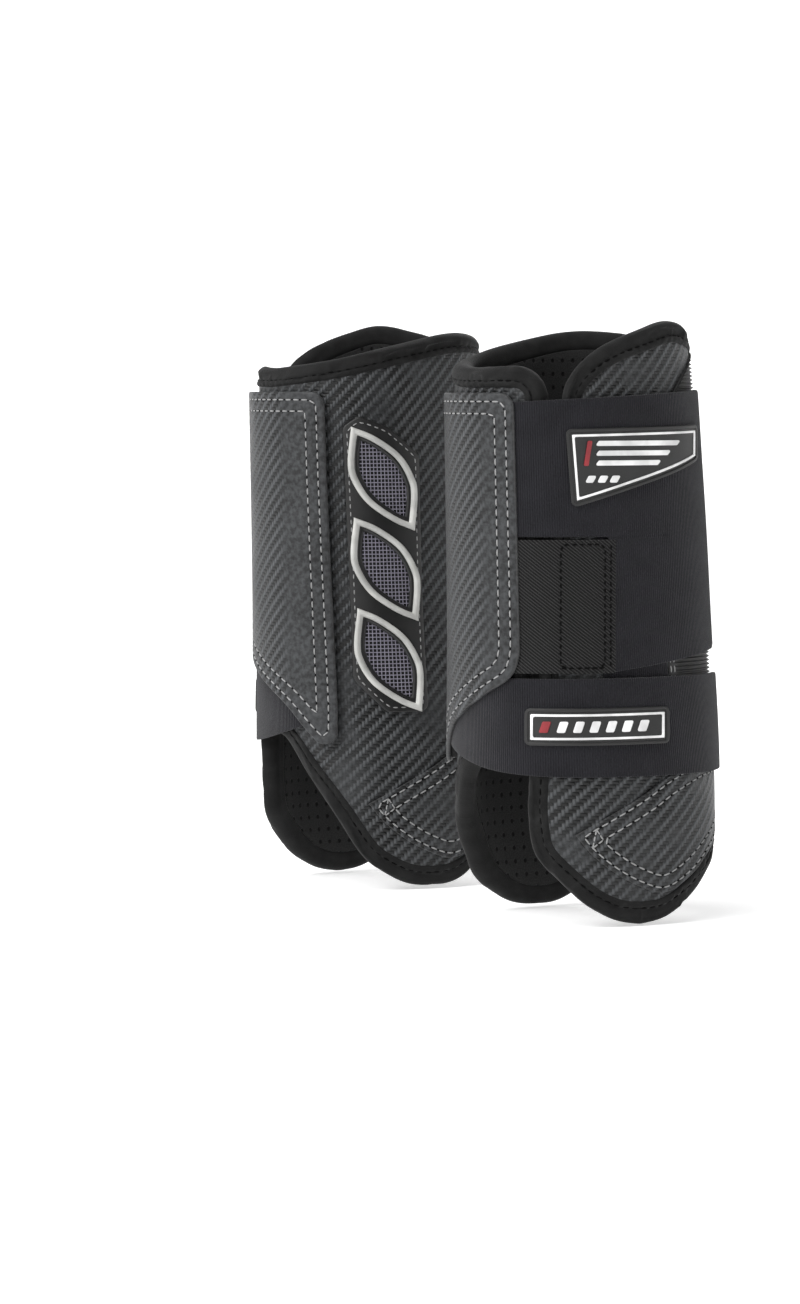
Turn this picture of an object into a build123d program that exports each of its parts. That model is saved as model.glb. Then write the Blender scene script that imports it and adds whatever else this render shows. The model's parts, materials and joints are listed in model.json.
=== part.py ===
from build123d import *
from functools import lru_cache
from math import cos, hypot, radians, sin
import os

# A pair of tendon boots for a horse's front legs, in millimetres.
# The origin is on the left leg's axis at the boots' lower edge, +Z is up and the boots face -Y.
# Each boot is drawn as a left boot, whose outer side is +X, and the right boot is its mirror image.
# Angles are degrees round the leg: 0 is the front (-Y), 90 the outer side (+X) and 180 the back.

LEG_SPACING = 179.0
BOOT_TOP = 262.0

# Layers, as distances outside the shell's outer face
LINER = (-7.6, -2.3)
SHELL = (-2.2, 0.0)
RIM = (-7.8, 0.8)
GUARD = (0.05, 1.1)
LANDING = (0.05, 0.45)
HOOKS = (0.8, 1.12)
STRAP = (1.15, 2.95)
ELASTIC = (1.3, 2.8)
SHIELD_CORE = (0.05, 3.05)
SHIELD = (3.1, 4.6)
VENT_MESH = (0.3, 0.9)
VENT_PLATE = (0.05, 1.7)
VENT_RIM = (1.7, 3.0)
BADGE = (2.95, 4.1)
BADGE_FRAME = (4.1, 4.5)

RIM_WIDTH = 10.0
GUARD_MARGIN = 3.0
VIEW_TURN = 60.0
BACK_START = 120.0
BACK_END = 210.0
STRAP_END = 148.0
FAR = 120.0
SPAN = (-20.0, 290.0)
RING_POINTS = 16
LOFT_STEPS = 7

HINGE_ANGLE = 33.5
ROOT_GAP = 1.6
KNUCKLE_RADIUS = (STRAP[1] - STRAP[0]) / 2
ELASTIC_KNUCKLE_RADIUS = 0.75


# ---- the boot's wall ----

def centre_y(height):
    """The section's centre leans back towards the bottom."""
    return 3.5 - 0.0435 * (height - 68)


def half_width(height):
    """Half the shell's width, fullest round the fetlock."""
    return 42 + 6.5 * 2 ** (-(((height - 50) / 50) ** 2))


def front_reach(height):
    return 50.2 + 0.026 * (BOOT_TOP - height)


def back_reach(height):
    return 56.3 - 5 * ((height - 120) / 140) ** 2


def wall_point(angle, height, distance=0.0):
    """A point on the egg-shaped section, this far outside the shell."""
    power = 2.35
    forward, sideways = cos(radians(angle)), sin(radians(angle))
    reach = (front_reach(height) if forward > 0 else back_reach(height)) + distance
    width = half_width(height) + distance
    radius = (abs(forward / reach) ** power + abs(sideways / width) ** power) ** (-1 / power)
    return Vector(radius * sideways, centre_y(height) - radius * forward, height)


@lru_cache(maxsize=None)
def core(distance):
    """The solid inside one face of the wall."""
    wires = []
    for step in range(LOFT_STEPS + 1):
        height = SPAN[0] + (SPAN[1] - SPAN[0]) * step / LOFT_STEPS
        turns = [360 * index / RING_POINTS for index in range(RING_POINTS)]
        ring = [wall_point(turn, height, distance) for turn in turns]
        wires.append(Wire([Edge.make_spline(ring, periodic=True)]))
    return Solid.make_loft(wires)


@lru_cache(maxsize=None)
def layer(faces):
    return core(faces[1]) - core(faces[0])


# ---- outlines ----

def view_plane(turn):
    """An upright plane through the leg's axis, square to a direction turned from the front."""
    across = (cos(radians(turn)), sin(radians(turn)), 0)
    outward = (sin(radians(turn)), -cos(radians(turn)), 0)
    return Plane(origin=(0, 0, 0), x_dir=across, z_dir=outward)


def on_view(point, turn=VIEW_TURN):
    return (point.X * cos(radians(turn)) + point.Y * sin(radians(turn)), point.Z)


def seen(angle, height, turn=VIEW_TURN):
    """Where a point of the wall falls on a view plane."""
    return on_view(wall_point(angle, height), turn)


def prism(face, turn=VIEW_TURN):
    """An outline on a view plane, carried outwards through the wall."""
    return extrude(view_plane(turn) * face, amount=FAR)


def polygon(*points):
    return make_face(Polyline(*points, close=True))


def sector(start, end):
    """The space between two upright planes that meet at the leg's axis."""
    steps = 1 + int((end - start) / 45)
    turns = [start + (end - start) * step / steps for step in range(steps + 1)]
    rim = [(2 * FAR * sin(radians(turn)), -2 * FAR * cos(radians(turn))) for turn in turns]
    face = make_face(Polyline((0, 0), *rim, close=True))
    return extrude(Pos(0, 0, SPAN[0]) * face, amount=SPAN[1] - SPAN[0])


def medial(shape):
    return mirror(shape, Plane.YZ)


# Edges of the boot, as (angle, height). The lobe and the rear are the same on both sides.
LOBE = [(46.5, 15.6), (57.5, 7.2), (71.5, 1.6), (88, 0), (105, 1.6), (123, 9.4), (140, 19.5), (150, 24)]
BOTTOM_OF_BODY = [(-25, 70), (-8, 70), (6.5, 66.5), (20, 52), (33.5, 35.3)] + LOBE
TOP_OF_BODY = [(-25, 241.5), (0, 241.5), (38, 244.7), (80, 251.7), (121, 257), (150, 256.5)]
TOP_OF_FLAP = [(51.5, 228), (55.5, 236), (64, 243.5), (80, 251), (107, 257.5), (128, 261), (150, 258)]
FLAP_FRONT = [(33, 30), (30, 45), (30.5, 63), (36, 110), (43, 165), (48.5, 205)]
OPENING_GAP = 2.2


def projected(stations):
    return [seen(*station) for station in stations]


def shifted(points, width):
    """The points of a curve, each moved square to it, to the left of its run."""
    moved = []
    for index, (across, up) in enumerate(points):
        before = points[max(index - 1, 0)]
        after = points[min(index + 1, len(points) - 1)]
        run, rise = after[0] - before[0], after[1] - before[1]
        length = hypot(run, rise)
        moved.append((across - width * rise / length, up + width * run / length))
    return moved


def band_face(lower, upper, width, side=80):
    """The face between two curves that both run from left to right, less this width at each."""
    lower, upper = shifted(lower, width), shifted(upper, -width)
    left = Polyline(lower[0], (-side, lower[0][1]), (-side, upper[0][1]), upper[0])
    right = Polyline(lower[-1], (side, lower[-1][1]), (side, upper[-1][1]), upper[-1])
    return make_face(Curve() + [Spline(*lower), Spline(*upper), left, right])


def medial_face(width):
    return band_face(projected(BOTTOM_OF_BODY), projected(TOP_OF_BODY), width)


def flap_face(width):
    """The flap, whose edge is one smooth line from the rear of the lobe round to the rear of the top."""
    edge = projected(LOBE[::-1] + FLAP_FRONT + TOP_OF_FLAP)
    edge = shifted(edge, -width)
    rear = Polyline(edge[0], (80, edge[0][1]), (80, edge[-1][1]), edge[-1])
    return make_face(Curve() + [Spline(*edge), rear])


def corner(centre, radius, start, end):
    """Points round a corner, by their direction from its centre."""
    turns = [radians(start + (end - start) * step / 4) for step in range(5)]
    return [(centre[0] + radius * cos(turn), centre[1] + radius * sin(turn)) for turn in turns]


def front_face(width):
    """The outer side of the body, from the front to the opening."""
    side = shifted(projected(FLAP_FRONT[3:]), OPENING_GAP)
    foot = [(-80, 70), (-60, 70)] + corner((-43.5, 84.5), 14.5, -90, 0)
    head = corner((-30.7, 226.5), 15, 0, 90) + [(-50, 241.5), (-80, 241.5)]
    edge = shifted(foot + side + head, width)
    return make_face(Curve() + [Spline(*edge), Line(edge[-1], edge[0])])


def back_face(width):
    """The back seen from behind, with the outer side on the left."""
    upper = [(-50, 261), (-38, 261), (-25, 258.5), (0, 252), (25, 256), (38, 257), (50, 257)]
    lower = [(-50, 3), (-43, 8), (-34, 17), (-22, 26), (0, 31), (22, 26), (34, 17), (43, 8), (50, 3)]
    return band_face(lower, upper, width)


def inset(face, width):
    return offset(face, amount=-width, kind=Kind.ARC)


@lru_cache(maxsize=None)
def medial_region(width):
    return medial(prism(medial_face(width)) & sector(0, 360 - BACK_END))


@lru_cache(maxsize=None)
def front_region(width):
    return prism(front_face(width)) & sector(0, 80)


@lru_cache(maxsize=None)
def back_region(width):
    return prism(back_face(width), 180) & sector(BACK_START, BACK_END)


@lru_cache(maxsize=None)
def flap_region(width):
    return prism(flap_face(width)) & sector(0, BACK_START)


def body_region(width):
    return medial_region(width) + front_region(width) + back_region(width)


# ---- wall pieces ----

def body_liner():
    return layer(LINER) & body_region(RIM_WIDTH)


def flap_liner():
    return layer(LINER) & flap_region(RIM_WIDTH)


def medial_shell():
    return layer(SHELL) & medial_region(RIM_WIDTH)


def front_shell():
    return layer(SHELL) & front_region(RIM_WIDTH)


def lateral_shell():
    return layer(SHELL) & flap_region(RIM_WIDTH)


def ribbed_spine():
    return layer(SHELL) & back_region(RIM_WIDTH)


def body_binding():
    return (layer(RIM) & body_region(0)) - body_region(RIM_WIDTH)


def flap_binding():
    return (layer(RIM) & flap_region(0)) - flap_region(RIM_WIDTH)


# ---- heel guard ----

def guard_side():
    """The guard's pointed end, from its corner back past the edge of the boot."""
    upper = Spline((-1, 39), (27, 55), (38, 64), (56, 70))
    rest = Polyline((56, 70), (80, 70), (80, -10), (10, -10), (-1, 39))
    return prism(make_face(Curve() + [upper, rest]))


def heel_guard():
    width = RIM_WIDTH + GUARD_MARGIN
    outer_side = flap_region(width) & guard_side()
    inner_side = medial_region(width) & medial(guard_side())
    rear = back_region(width) & Pos(0, 0, -50) * Box(4 * FAR, 4 * FAR, 240)
    return layer(GUARD) & (outer_side + inner_side + rear)


# ---- shield ----

SHIELD_CORNER = 8.0


def shield_outline(width=0.0):
    """The strike plate seen from the front, with its lower edge sweeping down to the inner side."""
    sweep = [(31, 124), (30.5, 116), (26, 107), (10, 98), (-12, 86), (-30, 67)]
    lower = shifted([seen(*station, turn=0) for station in sweep], -width)
    inner_turns = [(-38.5, 66), (-40, 80), (-38, 115), (-37, 153), (-36.5, 190)]
    inner = shifted([seen(*station, turn=0) for station in inner_turns], -width)
    side, top = seen(31, 229, turn=0)[0] - width, 229 - width
    edges = [Spline(*lower), Line(lower[-1], inner[0]), Spline(*inner)]
    edges += [Polyline(inner[-1], (inner[-1][0], top), (side, top), lower[0])]
    face = make_face(Curve() + edges)
    top_corners = face.vertices().sort_by(Axis.Y)[-2:]
    return fillet(top_corners, SHIELD_CORNER - width)


def shield():
    return layer(SHIELD) & prism(shield_outline(), 0)


def shield_backing():
    region = prism(shield_outline(2.0), 0) & sector(-60, 20)
    return (layer(SHIELD_CORE) & region) - prism(root_face(LOWER_HINGE, -46.5, 0.3))


# ---- vents ----

VENT_CENTRE = (4.1, 189.2)
VENT_STEP = (1.3, -41.6)
VENT_COUNT = 3
VENT_RIM_WIDTH = 3.2


def leaf(index, width=0.0):
    """A leaf with points at upper left and lower right, which reads the same turned half round."""
    side = [(-12.7, 24), (-3, 19.5), (7.6, 11), (14.6, -5.5), (12.7, -24)]
    side = shifted(side, -width)
    tip = 1.6 * width
    side[0] = (-12.7 + 0.55 * tip, 24 - tip)
    side[-1] = (12.7 - 0.55 * tip, -24 + tip)
    opposite = [(-across, -up) for across, up in side]
    face = make_face(Curve() + [Spline(*side), Spline(*opposite)])
    place = Pos(VENT_CENTRE[0] + index * VENT_STEP[0], VENT_CENTRE[1] + index * VENT_STEP[1])
    return place * face


def vent_plate_outline():
    corners = [(-14.4, 213), (-7, 218), (6, 213), (20, 200), (24.4, 82), (6, 82), (-9.6, 97)]
    face = polygon(*corners)
    return fillet(face.vertices(), 3.5)


def vent_plate():
    plate = layer(VENT_PLATE) & prism(vent_plate_outline())
    for index in range(VENT_COUNT):
        plate -= prism(leaf(index, VENT_RIM_WIDTH))
    return medial(plate)


def vent_rims():
    rims = [layer(VENT_RIM) & prism(leaf(index) - leaf(index, VENT_RIM_WIDTH))
            for index in range(VENT_COUNT)]
    return medial(Compound(children=rims))


def vent_mesh():
    meshes = [layer(VENT_MESH) & prism(leaf(index, VENT_RIM_WIDTH + 0.2))
              for index in range(VENT_COUNT)]
    return medial(Compound(children=meshes))


# ---- straps ----

UPPER_HINGE = (110.5, 225.0)
LOWER_HINGE = (64.6, 107.0)
FORK_BOTTOM = 166.4
FORK_TOP = 167.6
ELASTIC_END = 12.5


def hinge_end(height):
    return wall_point(HINGE_ANGLE, height, (STRAP[0] + STRAP[1]) / 2)


def hinge_point(hinge, height):
    """Where the straight line that a strap turns about passes a height."""
    foot, head = hinge_end(hinge[0]), hinge_end(hinge[1])
    return foot + (head - foot) * ((height - hinge[0]) / (hinge[1] - hinge[0]))


def knuckle(hinge, bottom, top, radius):
    """A round bar along the line that a strap turns about."""
    start, end = hinge_point(hinge, bottom), hinge_point(hinge, top)
    along = end - start
    return extrude(Plane(origin=start, z_dir=along) * Circle(radius), amount=along.length)


def strap_face(hinge, bottom, top, end=80):
    """A strap from the line that it turns about to its far end."""
    foot, head = on_view(hinge_point(hinge, bottom)), on_view(hinge_point(hinge, top))
    return polygon(foot, (end, foot[1]), (end, head[1]), head)


def upper_panel_face():
    foot, head = on_view(hinge_end(UPPER_HINGE[0])), on_view(hinge_end(UPPER_HINGE[1]))
    face = polygon(foot, (ELASTIC_END, foot[1]), (62, 118), (80, 118), (80, 230), (50, 230), head)
    fork = polygon((-80, 0), (ELASTIC_END, 0), (ELASTIC_END, FORK_TOP), (-80, FORK_TOP))
    return face - fork


def upper_strap():
    panel = layer(STRAP) & prism(upper_panel_face()) & sector(0, STRAP_END)
    return panel + knuckle(UPPER_HINGE, FORK_TOP, UPPER_HINGE[1], KNUCKLE_RADIUS)


def elastic_insert():
    band = strap_face(UPPER_HINGE, UPPER_HINGE[0], FORK_BOTTOM, ELASTIC_END)
    bar = knuckle(UPPER_HINGE, UPPER_HINGE[0], FORK_BOTTOM, ELASTIC_KNUCKLE_RADIUS)
    return (layer(ELASTIC) & prism(band)) + bar


def lower_strap():
    strap = layer(STRAP) & prism(strap_face(LOWER_HINGE, *LOWER_HINGE)) & sector(0, STRAP_END + 4)
    return strap + knuckle(LOWER_HINGE, *LOWER_HINGE, KNUCKLE_RADIUS)


def root_face(heights, front, margin=0.0):
    """The fixed end of a strap, which stops short of the line that the strap turns about."""
    foot, head = on_view(hinge_end(heights[0])), on_view(hinge_end(heights[1]))
    foot, head = (foot[0] - ROOT_GAP, foot[1] - margin), (head[0] - ROOT_GAP, head[1] + margin)
    return polygon(foot, head, (front, head[1]), (front, foot[1]))


def lower_strap_root():
    return layer(STRAP) & prism(root_face(LOWER_HINGE, -46))


def upper_strap_root():
    return layer(STRAP) & prism(root_face(UPPER_HINGE, -80)) & sector(21, 60)


def fastener(faces, bottom, top, start, end):
    """A hook or loop patch between two heights and two angles."""
    band = polygon((-80, bottom), (80, bottom), (80, top), (-80, top))
    return layer(faces) & prism(band) & sector(start, end)


def upper_badge_face():
    face = polygon((-6, 213), (47, 214.5), (47, 200.5), (-3.5, 181))
    return fillet(face.vertices(), 1.5)


def lower_badge_face():
    return Pos(6.5, 86.5) * RectangleRounded(57.5, 14.5, 1.5)


def badge(face):
    return layer(BADGE) & prism(face)


def badge_frame(face):
    return layer(BADGE_FRAME) & prism(inset(face, 1.4) - inset(face, 2.4))


# ---- the pair ----

BOOT_PIECES = {
    "body_liner": body_liner,
    "flap_liner": flap_liner,
    "medial_shell": medial_shell,
    "front_shell": front_shell,
    "lateral_shell": lateral_shell,
    "ribbed_spine": ribbed_spine,
    "body_binding": body_binding,
    "flap_binding": flap_binding,
    "heel_guard": heel_guard,
    "shield": shield,
    "shield_backing": shield_backing,
    "vent_plate": vent_plate,
    "vent_rims": vent_rims,
    "vent_mesh": vent_mesh,
    "upper_strap_root": upper_strap_root,
    "lower_strap_root": lower_strap_root,
    "upper_landing": lambda: fastener(LANDING, 122, 216, 78, 118),
    "lower_landing": lambda: fastener(LANDING, 68, 103, 78, 118),
    "upper_strap": upper_strap,
    "elastic_insert": elastic_insert,
    "upper_hook_patch": lambda: fastener(HOOKS, 124, 214, 84, 116),
    "upper_badge": lambda: badge(upper_badge_face()),
    "upper_badge_frame": lambda: badge_frame(upper_badge_face()),
    "lower_strap": lower_strap,
    "lower_hook_patch": lambda: fastener(HOOKS, 70, 101, 84, 116),
    "lower_badge": lambda: badge(lower_badge_face()),
    "lower_badge_frame": lambda: badge_frame(lower_badge_face()),
}


def main():
    os.makedirs("parts", exist_ok=True)
    for name, build in BOOT_PIECES.items():
        left = build()
        right = Pos(-LEG_SPACING, 0, 0) * medial(left)
        export_step(left, f"parts/left_{name}.step")
        export_step(right, f"parts/right_{name}.step")


main()
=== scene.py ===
import json
import math

import bmesh
import bpy
import numpy as np
from mathutils import Matrix, Vector
from mathutils.geometry import delaunay_2d_cdt


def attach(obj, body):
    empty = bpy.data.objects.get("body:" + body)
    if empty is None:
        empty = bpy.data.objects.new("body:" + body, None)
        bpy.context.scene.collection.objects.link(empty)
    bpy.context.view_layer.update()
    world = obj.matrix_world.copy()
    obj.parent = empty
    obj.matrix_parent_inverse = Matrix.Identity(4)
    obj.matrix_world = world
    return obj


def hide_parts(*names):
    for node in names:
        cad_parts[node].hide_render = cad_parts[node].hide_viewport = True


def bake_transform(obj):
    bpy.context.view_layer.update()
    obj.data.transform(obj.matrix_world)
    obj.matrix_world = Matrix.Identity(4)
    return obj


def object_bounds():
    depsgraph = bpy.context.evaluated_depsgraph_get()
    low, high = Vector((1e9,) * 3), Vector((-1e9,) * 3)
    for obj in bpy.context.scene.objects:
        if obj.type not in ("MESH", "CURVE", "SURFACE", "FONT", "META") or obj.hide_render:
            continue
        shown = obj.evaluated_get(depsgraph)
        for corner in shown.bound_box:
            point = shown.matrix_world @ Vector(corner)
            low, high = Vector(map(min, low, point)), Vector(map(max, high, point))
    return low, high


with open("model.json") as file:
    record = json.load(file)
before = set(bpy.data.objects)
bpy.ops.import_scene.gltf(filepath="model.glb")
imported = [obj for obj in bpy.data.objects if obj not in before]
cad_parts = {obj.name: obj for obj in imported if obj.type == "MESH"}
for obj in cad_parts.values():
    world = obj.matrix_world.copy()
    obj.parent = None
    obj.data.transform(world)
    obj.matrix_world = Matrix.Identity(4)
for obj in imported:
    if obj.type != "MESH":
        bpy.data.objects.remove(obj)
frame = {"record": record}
cad_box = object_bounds()

# Everything on a boot is drawn on its unrolled wall: s is the distance round the leg from the
# front and h the height, in millimetres. A depth is the distance outside the shell's face.
# Angles are degrees round the leg: 0 is the front, 90 the outer side, 180 the back.
# A mesh is its (s, h) points, their depths, its faces and each point's distance from the edge.
# The right boot is the left one mirrored.

MM = 0.001
SIDES = ("left", "right")
MOUNTS = {mount["name"]: mount["pos_m"] for mount in frame["record"]["mounts"]}
JOINTS = {joint["name"]: joint for joint in frame["record"]["behaviour"]["joints"]}
SPACING = -MOUNTS["right_leg"][0]
BOOT_TOP = 262.0
SECTION_POWER = 2.35
UNROLL_HEIGHT = 130.0
VIEW_TURN = math.radians(60)
FAR_FROM_EDGE = 9.0

# The layers' depths: each one's inner and outer face
LINER = (-7.6, -2.3)
SHELL = (-2.2, 0.0)
GUARD = (0.02, 1.1)
LANDING = (0.02, 0.45)
HOOK_BASE = (0.95, 1.2)
STRAP = (1.15, 2.95)
INSERT = (1.3, 3.2)
SHIELD_CORE = (0.05, 2.7)
SHIELD_BACK, SHIELD_FACE = 2.6, 4.6
VENT_PANEL = (0.05, 1.6)
VENT_SHADOW = (0.02, 0.2)
MESH_MIDDLE = 0.62
BADGE_BACK, BADGE_FACE = 2.9, 4.0


# ---- the wall's shape ----

def norm(vectors):
    """Each vector's length."""
    return np.linalg.norm(vectors, axis=-1)


def unit(vector):
    """The vector made 1 long."""
    return vector / norm(vector)


def wall(angle, height, distance=0.0):
    """Points on the boot's egg-shaped section, in millimetres."""
    forward, sideways = np.cos(np.radians(angle)), np.sin(np.radians(angle))
    front = 50.2 + 0.026 * (BOOT_TOP - height)
    back = 56.3 - 5 * ((height - 120) / 140) ** 2
    reach = np.where(forward > 0, front, back) + distance
    width = 42 + 6.5 * 2 ** (-(((height - 50) / 50) ** 2)) + distance
    bulge = np.abs(forward / reach) ** SECTION_POWER + np.abs(sideways / width) ** SECTION_POWER
    radius = bulge ** (-1 / SECTION_POWER)
    y = 3.5 - 0.0435 * (height - 68) - radius * forward
    return np.stack(np.broadcast_arrays(radius * sideways, y, height), axis=-1)


def arc_table():
    """The distance round the wall at each half degree."""
    angles = np.arange(-360, 720.5, 0.5)
    steps = norm(np.diff(wall(angles, UNROLL_HEIGHT), axis=0))
    lengths = np.concatenate(([0], np.cumsum(steps)))
    return angles, lengths - np.interp(0, angles, lengths)


ANGLES, LENGTHS = arc_table()


def around(angle):
    """The distance s at an angle round the leg."""
    return np.interp(angle, ANGLES, LENGTHS)


def place(points, distance):
    """Unrolled points, put on the wall, in metres."""
    return wall(np.interp(points[..., 0], LENGTHS, ANGLES), points[..., 1], distance) * MM


def unroll(stations):
    """Unrolled points from pairs of an angle and a height."""
    return np.array([(around(angle), height) for angle, height in stations])


def from_view(across, height):
    """The unrolled point that is seen at a place on the view 60 degrees round from the front."""
    angles = np.arange(-25.0, 148.0, 0.5)
    points = wall(angles, height)
    seen = points[:, 0] * math.cos(VIEW_TURN) + points[:, 1] * math.sin(VIEW_TURN)
    return np.array((around(np.interp(across, seen, angles)), height))


def all_from_view(places):
    """from_view for a list of places."""
    return np.array([from_view(*place_at) for place_at in places])


# ---- curves on the unrolled wall ----

CATMULL_ROM = np.array([(0, 2, 0, 0), (-1, 0, 1, 0), (2, -5, 4, -1), (-1, 3, -3, 1)]) / 2


def spline(points, step):
    """A smooth curve through points, evenly spaced."""
    chain = np.vstack([2 * points[0] - points[1], points, 2 * points[-1] - points[-2]])
    powers = np.linspace(0, 1, 24, endpoint=False)[:, None] ** np.arange(4)
    spans = [powers @ CATMULL_ROM @ chain[start:start + 4] for start in range(len(points) - 1)]
    return resample(np.vstack(spans + [points[-1:]]), step)


def resample(path, step, closed=False):
    """The same path with its points evenly spaced."""
    path = np.asarray(path, float)
    if closed:
        path = np.vstack([path, path[:1]])
    lengths = np.concatenate(([0], np.cumsum(norm(np.diff(path, axis=0)))))
    count = max(2, int(round(lengths[-1] / step)))
    at = np.linspace(0, lengths[-1], count + 1)
    if closed:
        at = at[:-1]
    return np.stack([np.interp(at, lengths, path[:, axis]) for axis in (0, 1)], axis=1)


def rounded(corners, radius, step=1.0):
    """A closed outline with every corner rounded. radius is one number or one per corner."""
    corners = np.array(corners, float)
    points = []
    for index, (corner, bend) in enumerate(zip(corners, np.broadcast_to(radius, len(corners)))):
        before = unit(corners[index - 1] - corner)
        after = unit(corners[(index + 1) % len(corners)] - corner)
        half = math.acos(np.clip(before @ after, -1, 1)) / 2
        reach = bend / math.tan(half)
        start, end = corner + before * reach, corner + after * reach
        middle = corner + unit(before + after) * bend / math.sin(half)
        for t in np.linspace(0, 1, 9):
            spoke = (start - middle) * (1 - t) + (end - middle) * t
            points.append(middle + spoke / max(norm(spoke), 1e-9) * bend)
    return resample(points, step, closed=True)


def normals(path, closed):
    """The direction to the left of a path's run, at each point."""
    if closed:
        run = np.roll(path, -1, axis=0) - np.roll(path, 1, axis=0)
    else:
        run = np.gradient(path, axis=0)
    run /= np.maximum(norm(run), 1e-9)[:, None]
    return np.stack([-run[:, 1], run[:, 0]], axis=1)


def twice_area(path):
    """Twice a closed outline's area, positive when it runs counter-clockwise."""
    x, y = path[:, 0], path[:, 1]
    return np.sum(x * np.roll(y, -1) - y * np.roll(x, -1))


def turn_sign(path):
    """1 for an outline that runs anticlockwise, -1 for clockwise."""
    return 1 if twice_area(path) > 0 else -1


def inward(path, width, step=None):
    """A closed outline moved inwards by width. With a step, loops at tight corners are cut out."""
    moved = path + normals(path, True) * width * turn_sign(path)
    if step is None:
        return moved
    clear = (distance_to(moved, path) > width - 0.15) & inside(moved, path)
    return resample(moved[clear], step, closed=True)


def distance_to(points, path):
    """How far each point is from the nearest point of a path."""
    nearest = np.full(len(points), 1e9)
    for start in range(0, len(path), 64):
        gaps = points[:, None, :] - path[None, start:start + 64, :]
        nearest = np.minimum(nearest, np.sqrt((gaps ** 2).sum(axis=2)).min(axis=1))
    return nearest


def inside(points, outline):
    """Which points lie inside a closed outline."""
    x, y = points[:, 0], points[:, 1]
    result = np.zeros(len(points), bool)
    for (x1, y1), (x2, y2) in zip(outline, np.roll(outline, -1, axis=0)):
        crosses = (y1 > y) != (y2 > y)
        with np.errstate(divide="ignore", invalid="ignore"):
            result ^= crosses & (x < (x2 - x1) * (y - y1) / (y2 - y1) + x1)
    return result


# ---- meshes ----

def add(name, data):
    """A new object in the scene."""
    thing = bpy.data.objects.new(name, data)
    bpy.context.scene.collection.objects.link(thing)
    return thing


def add_mesh(name, points, faces):
    """A new mesh object."""
    mesh = bpy.data.meshes.new(name)
    mesh.from_pydata(points, [], [list(face) for face in faces])
    return add(name, mesh)


def piece(name, side, points, faces, flat, border, material, body, replaces=()):
    """Makes one boot's copy of a piece, mirrored for the right boot."""
    cloth = np.column_stack([flat, np.zeros(len(flat))])
    if side == "right":
        points = points * (-1, 1, 1) - (SPACING, 0, 0)
        cloth = cloth * (-1, 1, 1)
        faces = [face[::-1] for face in faces]
    thing = add_mesh(f"{side}_{name}", points.tolist(), faces)
    mesh = thing.data
    shape = bmesh.new()
    shape.from_mesh(mesh)
    bmesh.ops.recalc_face_normals(shape, faces=shape.faces)
    shape.to_mesh(mesh)
    shape.free()
    mesh.attributes.new("cloth", "FLOAT_VECTOR", "POINT").data.foreach_set("vector", cloth.ravel())
    mesh.attributes.new("border", "FLOAT", "POINT").data.foreach_set("value", border)
    mesh.materials.append(material)
    mesh.shade_smooth()
    if replaces:
        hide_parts(*[f"{side}_{node}" for node in replaces])
    if body is not None:
        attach(thing, f"{side}_{body}")
    return thing


def both(name, mesh, material, body="boot", replaces=()):
    """A piece on each boot. A body of None leaves the piece on no body."""
    flat, depth, faces, border = mesh
    points = place(flat, depth)
    return [piece(name, side, points, faces, flat, border, material, body, replaces)
            for side in SIDES]


def as_mesh(flat, depth, faces):
    """A mesh with no edge to wear."""
    flat = np.array(flat, float)
    return flat, np.array(depth, float), faces, np.full(len(flat), FAR_FROM_EDGE)


def joined(meshes):
    """Several meshes as one."""
    faces, start = [], 0
    for flat, _, own, _ in meshes:
        faces += [tuple(i + start for i in face) for face in own]
        start += len(flat)
    flats, depths, _, borders = zip(*meshes)
    return np.vstack(flats), np.concatenate(depths), faces, np.concatenate(borders)


def band(first, second, count):
    """The faces between two closed rings, from the number of each ring's first point."""
    return [(first + i, second + i, second + (i + 1) % count, first + (i + 1) % count)
            for i in range(count)]


def tube_faces(first, rings, sides):
    """The faces of a tube with both ends capped, whose points are numbered ring by ring."""
    last = first + (rings - 1) * sides
    faces = [range(first, first + sides), range(last, last + sides)]
    for ring in range(first, last, sides):
        faces += band(ring, ring + sides, sides)
    return faces


def level_at(level):
    """A distance, or a function of unrolled points that gives one, as such a function."""
    return level if callable(level) else lambda points: np.full(len(points), float(level))


EDGE_TURNS = np.radians((0, 30, 60, 90))
GROOVE_WIDTH = 0.55


def edge_rings(loop, inner, outer, rounding):
    """A rounded edge: rings from the side up to the outer face, then from the inner face back."""
    left = normals(loop, True)
    flat, depth = [], []
    for level, drop, turns in ((outer, -rounding, EDGE_TURNS), (inner, rounding, EDGE_TURNS[::-1])):
        for turn in turns:
            moved = loop + left * rounding * (1 - math.cos(turn))
            flat.append(moved)
            depth.append(level(moved) + drop * (1 - math.sin(turn)))
    return flat, depth


def in_cloth(points, edges):
    """Which points lie inside the first edge and outside the others."""
    result = inside(points, edges[0])
    for hole in edges[1:]:
        result &= ~inside(points, hole)
    return result


def spread(outline, edges, spacing, grooves):
    """Points over a sheet, closer along its grooves and clear of its edges."""
    low, high = outline.min(axis=0), outline.max(axis=0)
    columns, rows = (np.arange(low[axis] + spacing / 2, high[axis], spacing) for axis in (0, 1))
    grid = [np.array(np.meshgrid(columns, rows)).reshape(2, -1).T]
    for groove in grooves:
        side = normals(groove, False)
        grid += [groove + side * shift for shift in (-1.0, -0.5, 0.0, 0.5, 1.0)]
    grid = np.vstack(grid)
    keep = in_cloth(grid, edges)
    for edge in edges:
        keep &= distance_to(grid, edge) > 0.35 * spacing
    return grid[keep]


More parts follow.
